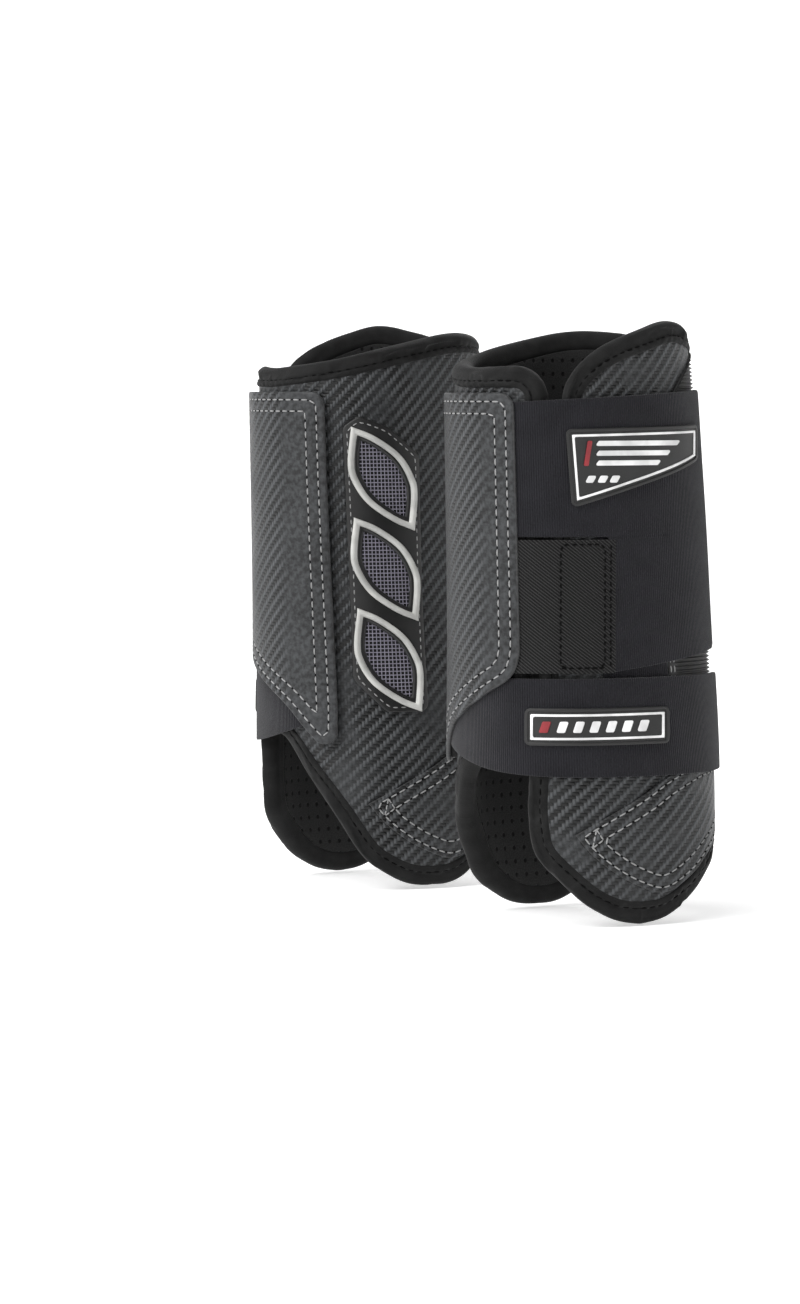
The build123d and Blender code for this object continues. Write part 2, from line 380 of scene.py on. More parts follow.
def filled(edges, grid):
    """Triangles inside the first edge and outside the others, and the spread points they use.

    Points are numbered edge by edge, and then the spread ones."""
    rim_count, bounds = 0, []
    for edge in edges:
        count = len(edge)
        bounds += [(rim_count + i, rim_count + (i + 1) % count) for i in range(count)]
        rim_count += count
    seeds = [Vector(point) for point in np.vstack(edges + [grid]).tolist()]
    points, _, triangles, sources = delaunay_2d_cdt(seeds, bounds, [], 1, 1e-5)[:4]
    points = np.array([tuple(point) for point in points])
    numbers, fresh = [], []
    for point, origin in zip(points, sources):
        known = [source for source in origin if source < rim_count]
        numbers.append(known[0] if known else rim_count + len(fresh))
        if not known:
            fresh.append(point)
    centres = points[np.array(triangles)].mean(axis=1)
    kept = [triangle for triangle, used in zip(triangles, in_cloth(centres, edges)) if used]
    return np.reshape(fresh, (-1, 2)), [[numbers[i] for i in triangle] for triangle in kept]


def slab_mesh(outline, faces_at, rounding, holes=(), spacing=3.0, grooves=(), groove_depth=0.0):
    """A sheet with rounded edges, lying on the wall.

    faces_at is its inner and outer face: distances, or functions of unrolled points."""
    inner, outer = (level_at(level) for level in faces_at)
    loops = [outline[::turn_sign(outline)]] + [hole[::-turn_sign(hole)] for hole in holes]
    last = len(EDGE_TURNS) - 1
    flat, depth, faces, edges, pairs, start = [], [], [], [], [], 0
    for loop in loops:
        count = len(loop)
        rings, levels = edge_rings(loop, inner, outer, rounding)
        for ring in range(len(rings)):
            if ring != last:
                faces += band(start + ring * count, start + (ring + 1) % len(rings) * count, count)
        flat += rings
        depth += levels
        edges.append(rings[last])
        pairs += [(start + last * count + i, start + (last + 1) * count + i) for i in range(count)]
        start += len(rings) * count
    fresh, triangles = filled(edges, spread(outline, edges, spacing, grooves))
    pairs += [(start + i, start + len(fresh) + i) for i in range(len(fresh))]
    for triangle in triangles:
        faces.append([pairs[i][0] for i in triangle])
        faces.append([pairs[i][1] for i in triangle[::-1]])
    flat = np.vstack(flat + [fresh, fresh])
    depth = np.concatenate(depth + [outer(fresh), inner(fresh)])
    if len(grooves):
        gap = distance_to(flat, np.vstack([resample(groove, 0.4) for groove in grooves]))
        outside = depth > (outer(flat) + inner(flat)) / 2
        depth = depth - groove_depth * np.exp(-(gap / GROOVE_WIDTH) ** 2) * outside
    return flat, depth, faces, distance_to(flat, np.vstack(loops))


def slab(name, outline, faces_at, material, slot, body="boot", replaces=(), rounding=0.4, **extra):
    """A slab on both boots."""
    mesh = slab_mesh(outline, faces_at, rounding, **extra)
    return both(name, mesh, material, body, replaces)


# Places along a stitch, from -1 to 1, and its girth there; a needle hole's length, radius and depth
STITCH_ALONG = np.array([-1, -0.8, -0.4, 0, 0.4, 0.8, 1])
STITCH_GIRTH = np.array([0.25, 0.75, 0.98, 1, 0.98, 0.75, 0.25])
STITCH_SIDES = 6
STITCH_PITCH = 4.2
NEEDLE_HOLE = (1.1, 0.42, 0.22)


def stitch_mesh(starts, ends, level, length, radius, sink=0.0):
    """Separate threads between pairs of points, each arched over the surface or sunk into it."""
    middle = (starts + ends) / 2
    run = ends - starts
    run /= norm(run)[:, None]
    along = np.repeat(STITCH_ALONG, STITCH_SIDES)
    girth = np.repeat(STITCH_GIRTH, STITCH_SIDES) * radius
    turn = np.tile(np.arange(STITCH_SIDES) * math.tau / STITCH_SIDES, len(STITCH_ALONG))
    x = along * length / 2
    y = girth * np.cos(turn) * 1.15
    lift = girth * np.sin(turn) + 0.25 * radius - 0.9 * radius * along ** 4
    side = np.stack([-run[:, 1], run[:, 0]], axis=1)
    flat = middle[:, None, :] + x[None, :, None] * run[:, None, :]
    flat = (flat + y[None, :, None] * side[:, None, :]).reshape(-1, 2)
    faces = []
    for start in range(0, len(flat), len(along)):
        faces += tube_faces(start, len(STITCH_ALONG), STITCH_SIDES)
    return as_mesh(flat, level_at(level)(flat) - sink + np.tile(lift, len(middle)), faces)


def stitches(name, rows, level, material, body="boot", pitch=STITCH_PITCH, length=3.0,
             radius=0.34, closed=False):
    """Rows of stitches on both boots."""
    meshes = []
    for row in rows:
        path = resample(row, pitch, closed)
        ends = np.roll(path, -1, axis=0)
        used = len(path) if closed else len(path) - 1
        meshes.append(stitch_mesh(path[:used], ends[:used], level, length, radius))
    both(name, joined(meshes), material, body)


def sewn_rows(which, rows, level, radius, pitch=STITCH_PITCH):
    """Closed rows of pale stitches, with the needle holes between them as sunk near-black marks: painted
    shade in the holes.
    """
    stitches(f"{which}_stitches", rows, level, PALE_THREAD, pitch=pitch, radius=radius,
             closed=True)
    holes = []
    for row in rows:
        path = resample(row, pitch, closed=True)
        starts = (path + np.roll(path, -1, axis=0)) / 2
        holes.append(stitch_mesh(starts, np.roll(starts, -1, axis=0), level, *NEEDLE_HOLE))
    # the needle holes' near-black is painted shade inside the holes
    both(f"{which}_needle_holes", joined(holes), BLACK_THREAD_AND_HOLE_SHADE)


# ---- materials ----

def through(operation):
    """A method that puts a field through a Math node."""
    return lambda self, *others: self.math(operation, *others)


class Field:
    """A value that varies over a material: a node's output, ready for sums."""

    def __init__(self, finish, socket):
        self.finish = finish
        self.socket = socket

    def math(self, operation, *others):
        """A Math node's result for this field and the others."""
        return self.finish.node("Math", 0, dict(enumerate((self, *others))), operation=operation)

    __add__ = through("ADD")
    __sub__ = through("SUBTRACT")
    __mul__ = through("MULTIPLY")
    __truediv__ = through("DIVIDE")
    __mod__ = through("FLOORED_MODULO")
    __pow__ = through("POWER")
    __abs__ = through("ABSOLUTE")
    floor = through("FLOOR")
    fraction = through("FRACT")

    def __rsub__(self, other):
        return self * -1.0 + other

    def wave(self, length):
        """A sine that repeats at each length."""
        return (self * (math.tau / length)).math("SINE")

    def ramp(self, low, high, out_low=0.0, out_high=1.0):
        """Eases from out_low to out_high as the field goes from low to high."""
        inputs = dict(enumerate((self, low, high, out_low, out_high)))
        return self.finish.node("MapRange", 0, inputs, interpolation_type="SMOOTHSTEP")


class Finish:
    """A procedural material, built from small steps. Its fields are in millimetres of cloth."""

    def __init__(self, name, roughness=0.6, **values):
        self.material = bpy.data.materials.new(name)
        self.material.use_nodes = True
        self.shader = self.material.node_tree.nodes["Principled BSDF"]
        self.set(Roughness=roughness, **values)
        self.place = self.node("Attribute", "Vector", attribute_name="cloth")
        self.border = self.node("Attribute", "Fac", attribute_name="border")
        self.s, self.h = (self.node("SeparateXYZ", axis, {0: self.place}) for axis in "XY")

    def feed(self, node, inputs):
        """Fills a node's inputs with fields, numbers or colours."""
        for key, value in inputs.items():
            if isinstance(value, Field):
                self.material.node_tree.links.new(value.socket, node.inputs[key])
            else:
                node.inputs[key].default_value = value

    def set(self, **values):
        """Fills the shader's inputs, whose names have spaces for the underscores."""
        self.feed(self.shader, {key.replace("_", " "): value for key, value in values.items()})

    def node(self, kind, output, inputs=(), **settings):
        """An output of a new node."""
        node = self.material.node_tree.nodes.new("ShaderNode" + kind)
        for key, value in settings.items():
            setattr(node, key, value)
        self.feed(node, dict(inputs))
        return Field(self, node.outputs[output])

    def noise(self, scale, detail=3.0, stretch=(1, 1, 1)):
        """Cloudy noise, with about scale features per millimetre."""
        stretched = self.node("Mapping", 0, {"Vector": self.place, "Scale": stretch})
        return self.node("TexNoise", "Fac", {"Vector": stretched, "Scale": scale, "Detail": detail})

    def mix(self, amount, first, second):
        """A colour between two others. Sockets 6 and 7 of a Mix node are its colours."""
        return self.node("Mix", 2, {0: amount, 6: first, 7: second}, data_type="RGBA")

    def bump(self, height, distance):
        """height is 0 to 1, and distance is what 1 stands for, in millimetres."""
        inputs = {"Height": height, "Distance": distance * MM, "Strength": 1.0}
        self.set(Normal=self.node("Bump", 0, inputs))


def grey(value, red=1.0, blue=1.0):
    """A grey, with the shares of red and blue that tint it."""
    return (value * red, value, value * blue, 1.0)


def shaded(colour, share):
    """A colour made darker or lighter."""
    return tuple(min(channel * share, 1.0) for channel in colour[:3]) + (1.0,)


def crown(position):
    """A yarn's height across its width: 1 in the middle and 0 at both edges."""
    return 1.0 - abs(position * 2.0 - 1.0) ** 2.4


def twill(finish, cell):
    """A two-over-two twill whose ribs climb to the right: its height, and where upright yarns show."""
    x, y = finish.s / cell, finish.h / cell
    along_x, along_y = x.fraction(), y.fraction()
    step = (x.floor() - y.floor()) % 4.0
    upright = step.math("LESS_THAN", 1.5)
    over_y = crown(along_x) * crown((1.0 - step + along_y) * 0.5)
    over_x = crown(along_y) * crown((step - 2.0 + along_x) * 0.5)
    yarns = (over_y * 0.55 + 0.45) * upright + over_x * (upright * -0.35 + 0.35)
    rib = (x - y + 0.5).wave(4.0) * 0.5 + 0.5
    return yarns * 0.65 + rib * 0.35, upright


def carbon(name, dark, light, depth, painted_glare_from=None, cell=1.5):
    """Carbon-look coated fabric: an embossed twill with worn edges. It is flattened to a mottled
    grey past the given distance round the boot as painted glare where it faces the light, or else in
    scattered patches."""
    finish = Finish(name, Specular_IOR_Level=0.32)
    height, upright = twill(finish, cell)
    patch = finish.noise(0.05, 4.0)
    # painted sheen and shade: the tone is lighter on the raised upright yarns and darker in the low
    # crossing ones
    tone = (upright * 0.15 + height * 0.8).math("MAXIMUM", 0.0) ** 1.35
    if painted_glare_from is None:
        flattened = finish.noise(0.045, 2.0).ramp(0.46, 0.66, 0.0, 0.65)
    else:
        # painted glare: past this distance the twill fades to a flat mottled grey, where the shield faces
        # the light
        flattened = abs(finish.s).ramp(painted_glare_from, painted_glare_from + 9.0, 0.0, 0.85)
    mottle = finish.noise(0.45, 6.0).ramp(0.35, 0.65, 0.12, 0.5)
    tone = tone + (mottle - tone) * flattened + patch.ramp(0.3, 0.7, -0.08, 0.08)
    base = finish.mix(tone, grey(dark, 0.95, 1.05), grey(light, 0.95, 1.06))
    worn = (finish.border + patch * 0.6).ramp(0.2, 1.0, 0.35, 0.0)
    finish.set(Base_Color=finish.mix(worn, base, grey(light * 1.2)))
    finish.set(Roughness=upright * 0.1 + 0.4 + patch.ramp(0.3, 0.7, -0.05, 0.08))
    finish.bump(height * (1.0 - flattened) + finish.noise(2.6, 2.0) * 0.12, depth)
    return finish.material


def neoprene():
    """Smooth knitted jersey over foam."""
    finish = Finish("neoprene", 0.82, Specular_IOR_Level=0.15, Sheen_Weight=0.06, Sheen_Roughness=0.5)
    stitch = math.tau / 9
    cloud = finish.noise(0.12, 4.0).ramp(0.3, 0.7)
    finish.set(Base_Color=finish.mix(cloud, grey(0.007), grey(0.012)))
    finish.bump(finish.s.wave(stitch) * finish.h.wave(stitch) * 0.25 + finish.noise(1.2), 0.12)
    return finish.material


def lining(pitch=6.0):
    """Perforated jersey lining."""
    finish = Finish("lining", 0.9, Specular_IOR_Level=0.15, Sheen_Weight=0.05)
    x, y = ((along / pitch).fraction() - 0.5 for along in (finish.s, finish.h))
    # the holes are painted near-black: painted shade inside each perforation
    hole = ((x * x + y * y) ** 0.5).ramp(0.12, 0.2)
    fuzz = finish.noise(1.5)
    soft = finish.mix(fuzz.ramp(0.3, 0.7), grey(0.014), grey(0.026))
    finish.set(Base_Color=finish.mix(hole, grey(0.003), soft))
    finish.bump(hole + fuzz * 0.2, 0.35)
    return finish.material


def loop_fabric():
    """Brushed loop pile with fine upright ribs."""
    finish = Finish("loop_fabric", 0.88, Specular_IOR_Level=0.15, Sheen_Weight=0.12, Sheen_Roughness=0.45)
    ribs = finish.s.wave(1.0)
    fuzz = finish.noise(1.9, 5.0, (1.0, 0.55, 1.0))
    cloud = finish.noise(0.06, 4.0)
    # the ribs term is painted highlight and shade, lighter on the rib crests and darker in the grooves;
    # the rest is the pile's own random tone
    tone = fuzz.ramp(0.3, 0.7, 0.0, 0.5) + cloud.ramp(0.3, 0.7, 0.0, 0.3) + ribs * 0.12 + 0.1
    base = finish.mix(tone, grey(0.006, 1.02, 1.25), grey(0.017, 1.02, 1.22))
    worn = finish.border.ramp(0.0, 0.7, 0.3, 0.0)
    finish.set(Base_Color=finish.mix(worn, base, grey(0.02, 1.0, 1.1)))
    finish.bump(ribs * 0.4 + fuzz * 0.9, 0.22)
    return finish.material


def elastic_fabric():
    """Heavy elastic with fine diagonal ribs that fall to the right."""
    finish = Finish("elastic", 0.75, Specular_IOR_Level=0.2, Sheen_Weight=0.04)
    rib = (finish.s * 0.64 + finish.h * 0.77).wave(1.15)
    # painted shade and highlight: darker in the rib grooves and lighter on the ridges, following the bump
    finish.set(Base_Color=finish.mix((rib * 0.5 + 0.5) ** 1.6, grey(0.0), grey(0.03)))
    finish.bump(rib * 0.5 + finish.s.wave(0.7) * 0.12 + finish.noise(1.4) * 0.3, 0.45)
    return finish.material


def plain(name, colour, roughness, grain=2.0, depth=0.06):
    """Moulded rubber or plastic with a fine grain and cloudy tone."""
    finish = Finish(name, roughness)
    speck = finish.noise(grain)
    cloud = finish.noise(0.08).ramp(0.3, 0.7)
    finish.set(Base_Color=finish.mix(cloud, shaded(colour, 0.8), shaded(colour, 1.2)))
    finish.set(Roughness=speck.ramp(0.2, 0.8, roughness - 0.06, roughness + 0.08))
    finish.bump(speck, depth)
    return finish.material


def thread(name, colour):
    """Twisted sewing thread."""
    finish = Finish(name, 0.75, Specular_IOR_Level=0.1)
    twist = (finish.s + finish.h).wave(0.5)
    # painted shade: the colour darkens along the twist's grooves, where the bump is low; the noise is the
    # thread's own random tone
    finish.set(Base_Color=finish.mix(twist * 0.3 + finish.noise(3.0, 2.0), shaded(colour, 0.6), colour))
    finish.bump(twist, 0.1)
    return finish.material


CARBON = carbon("carbon_shell", dark=0.0005, light=0.077, depth=1.2)
SHIELD_CARBON = carbon("carbon_shield", dark=0.001, light=0.078, depth=0.8, painted_glare_from=8.5)
NEOPRENE = neoprene()
LINING = lining()
LOOP = loop_fabric()
ELASTIC = elastic_fabric()
FOAM = plain("foam", grey(0.012), 0.9, 1.5, 0.2)
RUBBER = plain("vent_rubber", grey(0.0065), 0.42)
BADGE_RUBBER = plain("badge_rubber", grey(0.008), 0.5)
SPINE = plain("spine_rubber", grey(0.012), 0.6)
RIM_GREY = plain("pale_rim", (0.46, 0.46, 0.44, 1), 0.38, 1.0, 0.05)
WHITE = plain("white_line", grey(0.72), 0.45)
RED = plain("red_line", (0.24, 0.014, 0.02, 1), 0.5)
MESH = thread("mesh_thread", (0.44, 0.42, 0.51, 1))
PALE_THREAD = thread("pale_thread", grey(0.5))
# near-black thread, also used as the painted shade in the needle holes
BLACK_THREAD_AND_HOLE_SHADE = thread("black_thread_and_hole_shade", grey(0.0015))
HOOKS = plain("hooks", grey(0.01), 0.5)
BLACK = plain("shadow_cloth", grey(0.002), 0.95)


# ---- the boot's outline ----

# Stations: pairs of an angle and a height
LOBE = [(150, 24), (140, 19.5), (123, 9.4), (105, 1.6), (88, 0), (71.5, 1.6), (57.5, 7.2), (46.5, 15.6)]
FLAP_FRONT = [(33, 30), (30, 45), (30.5, 63), (36, 110), (43, 165), (48.5, 205)]
FLAP_TOP = [(51.5, 228), (55.5, 236), (64, 243.5), (80, 251), (107, 257.5), (128, 261), (150, 258)]
BACK_TOP = [(180, 252), (210, 256.5), (239, 257), (280, 251.7), (322, 244.7), (355, 241.5), (372, 241.5)]
BACK_FOOT = [(375, 70), (366, 70), (353.5, 66.5), (340, 52), (326.5, 35.3)]
BACK_NOTCH = [(180, 31)]
OPENING_GAP = 2.2
OPENING_HEIGHTS = (241.5, 205, 165, 110, 70)
OPENING_BENDS = (0.1, 15, 0.1, 0.1, 0.1, 14.5, 0.1)
EDGE_STEP = 1.2


def nearest(path, point):
    """The number of the path's point nearest to a point."""
    return np.argmin(norm(path - point))


def boot_outline():
    """The whole boot unrolled: the flap is at the left and the body's opening edge, which follows
    the flap's front edge, at the right."""
    medial_lobe = [(360 - angle, height) for angle, height in LOBE[::-1]]
    stations = BACK_FOOT + medial_lobe + BACK_NOTCH + LOBE + FLAP_FRONT + FLAP_TOP + BACK_TOP
    edge = spline(unroll(stations), EDGE_STEP)
    front = unroll(FLAP_FRONT[2:])
    across = around(360) - OPENING_GAP + np.interp(OPENING_HEIGHTS, front[:, 1], front[:, 0])
    closing = rounded([edge[-1], *zip(across, OPENING_HEIGHTS), edge[0]], OPENING_BENDS)
    closing = np.roll(closing, -nearest(closing, edge[-1]), axis=0)
    end = nearest(closing, edge[0])
    return resample(np.vstack([edge, closing[1:end]]), EDGE_STEP, closed=True)


OUTLINE = boot_outline()


def rim_path(width):
    """The boot's edge moved in by a width, without the kinks that tight corners leave."""
    path = inward(OUTLINE, width)
    for _ in range(int(width * 2)):
        path = (np.roll(path, 1, axis=0) + 2 * path + np.roll(path, -1, axis=0)) / 4
    return path


# ---- liner, shell and binding ----

LINER_RIM, SHELL_RIM = 9.4, 9.6

# The binding's section, from its outer seam round the edge to the inner one and back under the
# outer one: pairs of a width in from the edge and a depth
ROLL = [(10.2, 0.2), (9.4, 0.85), (8.4, 0.9), (7.6, 0.7), (7.1, 0.3), (6.6, 0.7), (5.6, 1.05),
        (4.4, 1.15), (3.2, 1.0), (2.0, 0.5), (1.0, -0.5), (0.35, -1.8), (0.05, -3.3), (0.3, -5.0),
        (1.2, -6.6), (2.8, -7.5), (5.0, -7.8), (7.4, -7.7), (9.6, -7.4), (10.3, -6.2), (10.3, -3.0),
        (10.3, -0.6)]
PINNED_RINGS = (0, 4, 17, 18, 19, 20, 21)
STITCH_RING = 4
LOOSE_HOLD = 0.35
CLOTH_SCALE = 20.0
CLOTH_FRAMES = 20
CLOTH_SETTINGS = {"quality": 4, "mass": 0.4, "tension_stiffness": 12, "compression_stiffness": 8,
                  "bending_stiffness": 0.8, "use_pressure": True, "uniform_pressure_force": 4,
                  "shrink_min": -0.04}
MOST_SWELL = 1.1


def simulate_roll(points, faces, count):
    """Blows the roll up between its seams, and pulls it in at every stitch, as foam in cloth does."""
    thing = add_mesh("roll_cloth", (points * CLOTH_SCALE).tolist(), faces)
    pins = thing.vertex_groups.new(name="pins")
    for ring in PINNED_RINGS:
        for i in range(count):
            held = 1.0 if ring != STITCH_RING or i % 4 < 2 else LOOSE_HOLD
            pins.add([ring * count + i], held, "REPLACE")
    cloth = thing.modifiers.new("cloth", "CLOTH")
    cloth.settings.vertex_group_mass = "pins"
    for setting, value in CLOTH_SETTINGS.items():
        setattr(cloth.settings, setting, value)
    cloth.settings.effector_weights.gravity = 0
    cloth.collision_settings.use_collision = False
    cloth.collision_settings.use_self_collision = False
    for number in range(1, CLOTH_FRAMES + 1):
        bpy.context.scene.frame_set(number)
    evaluated = thing.evaluated_get(bpy.context.evaluated_depsgraph_get())
    shaped = evaluated.to_mesh()
    swollen = np.empty(len(shaped.vertices) * 3)
    shaped.vertices.foreach_get("co", swollen)
    evaluated.to_mesh_clear()
    moved = swollen.reshape(-1, 3) / CLOTH_SCALE - points
    bpy.context.scene.frame_set(1)
    bpy.data.meshes.remove(thing.data)
    far = norm(moved)[:, None]
    return points + moved * np.minimum(1, MOST_SWELL * MM / np.maximum(far, 1e-9))


def hoop_mesh(rings, levels):
    """A section swept round a closed path: rings of one length, each at its depth."""
    count = len(rings[0])
    faces = []
    for ring in range(len(rings)):
        faces += band(ring * count, (ring + 1) % len(rings) * count, count)
    return as_mesh(np.vstack(rings), np.repeat(levels, count), faces)


def binding():
    """The padded rim: a roll of neoprene round the whole edge, stitched through."""
    widths, levels = zip(*ROLL)
    flat, depth, faces, border = hoop_mesh([rim_path(width) for width in widths], levels)
    points = place(flat, depth)
    points = simulate_roll(points, faces, len(OUTLINE))
    nodes = ("body_binding", "flap_binding")
    for side in SIDES:
        rim = piece("binding", side, points, faces, flat, border, NEOPRENE, "boot", nodes)
        smooth = rim.modifiers.new("smooth", "SUBSURF")
        smooth.levels = smooth.render_levels = 1
    seam = rim_path(widths[STITCH_RING])
    stitches("binding_stitches", [seam], 0.4, BLACK_THREAD_AND_HOLE_SHADE, radius=0.3, closed=True)


def liner():
    """The perforated foam lining, inside the shell."""
    outline = resample(rim_path(LINER_RIM), 2.0, closed=True)
    things = slab("liner", outline, LINER, LINING, "liner", replaces=("body_liner", "flap_liner"),
                  rounding=0.3, spacing=4.0)


def shell():
    """The carbon-look skin, from the flap's front edge round to the body's opening edge."""
    outline = resample(rim_path(SHELL_RIM), 1.5, closed=True)
    nodes = ("medial_shell", "front_shell", "lateral_shell")
    slab("shell", outline, SHELL, CARBON, "carbon_shell", replaces=nodes, rounding=0.3)


# ---- shield ----

SHIELD_SWEEP = [(31, 124), (30.5, 116), (26, 107), (10, 98), (-12, 86), (-26, 73)]
SHIELD_FOOT = [(-40, 59)]
SHIELD_INNER = [(-40.5, 85), (-39.5, 115), (-38.5, 153), (-38, 190)]
SHIELD_TOP = [(-38, 229), (31, 229)]
SHIELD_ROWS = (3.6, 8.8)


def shield_face(points):
    """The plate is crowned a little down its middle."""
    return SHIELD_FACE + 0.5 * np.exp(-(points[:, 0] / 16) ** 2)


def closed_line(row):
    """The row with its first point again at the end."""
    return np.vstack([row, row[:1]])


def shield():
    """The stitched strike plate and its foam core. The outline runs from the outer corner down the
    sweep to the foot, up the inner edge and over the top."""
    sweep = spline(unroll(SHIELD_SWEEP), 3.0)
    points = np.vstack([sweep, unroll(SHIELD_FOOT + SHIELD_INNER + SHIELD_TOP)])
    radii = [2] + [0.5] * (len(sweep) - 1) + [5.5] + [1] * len(SHIELD_INNER) + [6, 6]
    outline = rounded(points, radii, 1.2)
    rows = [inward(outline, width, 1.2) for width in SHIELD_ROWS]
    slab("shield_plate", outline, (SHIELD_BACK, shield_face), SHIELD_CARBON, "strike_shield",
         replaces=("shield",), rounding=0.8, spacing=2.5, grooves=[closed_line(row) for row in rows],
         groove_depth=0.45)
    slab("shield_foam", inward(outline, 1.6, 1.2), SHIELD_CORE, FOAM, "foam",
         replaces=("shield_backing",), rounding=0.3, spacing=4.0)
    sewn_rows("shield", rows, lambda points: shield_face(points) - 0.3, radius=0.3, pitch=4.3)


# ---- vents ----

# Places on the views from the side are pairs of a distance across and a height
VENTS = range(3)
VENT_CENTRE = (4.1, 189.2)
VENT_STEP = (1.3, -41.6)
VENT_CORNERS = [(-14.4, 213), (-7, 218), (6, 213), (20, 200), (24.4, 82), (6, 82), (-9.6, 97)]
LEAF = np.array([(-12.7, 24), (-3, 19.5), (7.6, 11), (13.4, 0.5), (14.6, -8), (12.7, -24)])
LEAF_STEPS = 44

# Sections of the rings round a vent: pairs of a width in from the leaf's edge and a depth
RIM_SECTION = [(0.0, 1.5), (0.1, 2.5), (0.5, 3.0), (1.5, 3.1), (1.9, 2.9), (2.7, 1.9), (2.8, 1.2),
               (0.6, 1.0)]
STEP_SECTION = [(2.5, 1.2), (2.6, 1.6), (3.2, 1.65), (4.3, 1.2), (4.6, 0.4), (2.6, 0.4)]

MESH_PITCH = 1.75
STRAND_RADIUS = 0.23
STRAND_FLATNESS = 0.45
STRAND_WAVE = 0.16
STRAND_SIDES = 5


def medial_point(across, height):
    """Where a place on the medial view lies: the lateral view's mirror image."""
    return from_view(across, height) * (-1, 1)


def leaf(index, width=0.0):
    """A vent's leaf shape, moved in by a width, with its two tips kept sharp."""
    half = spline(LEAF, 0.5)
    moved = half - normals(half, False) * width
    moved = moved[distance_to(moved, -half) > width - 0.05]
    moved = resample(moved, norm(np.diff(moved, axis=0)).sum() / LEAF_STEPS)
    ring = np.vstack([moved[:-1], -moved[:-1]])
    across, height = VENT_CENTRE[0] + index * VENT_STEP[0], VENT_CENTRE[1] + index * VENT_STEP[1]
    middle = medial_point(across, height)[0]
    stretch = (medial_point(across + 10, height)[0] - middle) / 10
    return np.stack([middle + ring[:, 0] * stretch, height + ring[:, 1]], axis=1)


def vent_rings(section):
    """A ring round every vent."""
    widths, levels = zip(*section)
    return joined([hoop_mesh([leaf(index, width) for width in widths], levels) for index in VENTS])


def strand(start, end, phase):
    """A flattened thread of the mesh that goes over and under the threads it crosses."""
    length = norm(end - start)
    count = max(3, int(length / 0.6))
    t = np.linspace(0, 1, count)
    line = start + (end - start) * t[:, None]
    run = (end - start) / length
    side = np.array((-run[1], run[0]))
    wave = STRAND_WAVE * np.cos(math.pi * (t * length / MESH_PITCH + phase))
    turns = np.arange(STRAND_SIDES) * math.tau / STRAND_SIDES
    flat = line[:, None, :] + (np.cos(turns) * STRAND_RADIUS)[None, :, None] * side
    thickness = np.sin(turns) * STRAND_RADIUS * STRAND_FLATNESS
    depth = MESH_MIDDLE + wave[:, None] + thickness[None, :]
    return as_mesh(flat.reshape(-1, 2), depth.ravel(), tube_faces(0, count, STRAND_SIDES))


def crossings(outline, axis, value):
    """Where a line across an outline enters and leaves it."""
    other = 1 - axis
    cuts = []
    for a, b in zip(outline, np.roll(outline, -1, axis=0)):
        if (a[axis] > value) != (b[axis] > value):
            t = (value - a[axis]) / (b[axis] - a[axis])
            cuts.append(a[other] + (b[other] - a[other]) * t)
    return min(cuts), max(cuts)


def woven_mesh(index):
    """Threads both ways, cut to the leaf."""
    window = leaf(index, 4.2)
    low, high = window.min(axis=0), window.max(axis=0)
    meshes = []
    for axis in (0, 1):
        for number, value in enumerate(np.arange(low[axis] + 0.5, high[axis], MESH_PITCH)):
            ends = crossings(window, axis, value)
            if ends[1] - ends[0] >= 1.5:
                start, end = (np.array((value, cut) if axis == 0 else (cut, value)) for cut in ends)
                meshes.append(strand(start, end, number + axis))
    return joined(meshes)


def vents():
    """The inner side's panel, with three leaf-shaped vents."""
    outline = rounded([medial_point(*corner) for corner in VENT_CORNERS], 4.0)
    slab("vent_panel", outline, VENT_PANEL, RUBBER, "vent_rubber", replaces=("vent_plate",), rounding=0.7,
         spacing=2.5, holes=[leaf(index, 1.2) for index in VENTS])
    stitches("vent_stitches", [inward(outline, 2.2, 1.0)], 1.55, PALE_THREAD, pitch=3.6,
             length=2.3, radius=0.22, closed=True)
    both("leaf_rims", vent_rings(RIM_SECTION), RIM_GREY, replaces=("vent_rims",))
    both("vent_steps", vent_rings(STEP_SECTION), RUBBER)
    threads = joined([woven_mesh(index) for index in VENTS])
    both("woven_mesh", threads, MESH, replaces=("vent_mesh",))
    for index in VENTS:
        slab(f"vent_shadow_{index}", leaf(index, 2.6), VENT_SHADOW, BLACK, "foam", rounding=0.05)


# ---- heel guard and spine ----

# The guard's edges from its tip to the back's middle: first as seen from the side, then as stations
GUARD_UPPER = [(-2.5, 40), (13, 48.5), (27, 56.5), (38, 64)], [(128, 70.5), (155, 71.5), (180, 71)]
GUARD_LOWER = ([(-2.5, 40), (5, 31), (14.8, 23), (25, 17), (36, 13.5)],
               [(118, 19.5), (136, 30), (158, 40), (180, 44)])
GUARD_ROWS = (2.2, 7.4)
BACK = around(180)


def with_mirror(path):
    """The path, and its mirror image across the back's middle, run the other way."""
    return path, ((2 * BACK, 0) + path * (-1, 1))[::-1]


def guard_outline():
    """From the lateral point round the back to the medial point."""
    sides = []
    for places, stations in (GUARD_UPPER, GUARD_LOWER):
        edge = np.vstack([all_from_view(places), unroll(stations)])
        mirrored = with_mirror(edge)[1]
        sides.append(spline(np.vstack([edge, mirrored[1:]]), 1.2))
    return np.vstack([sides[0], sides[1][::-1][1:-1]])


def mirrored_row(row):
    """A closed row with the half before the back's middle repeated on the other side."""
    before = row[:, 0] <= BACK
    first = np.flatnonzero(before & ~np.roll(before, 1))[0]
    return np.vstack(with_mirror(np.roll(row, -first, axis=0)[:before.sum()]))


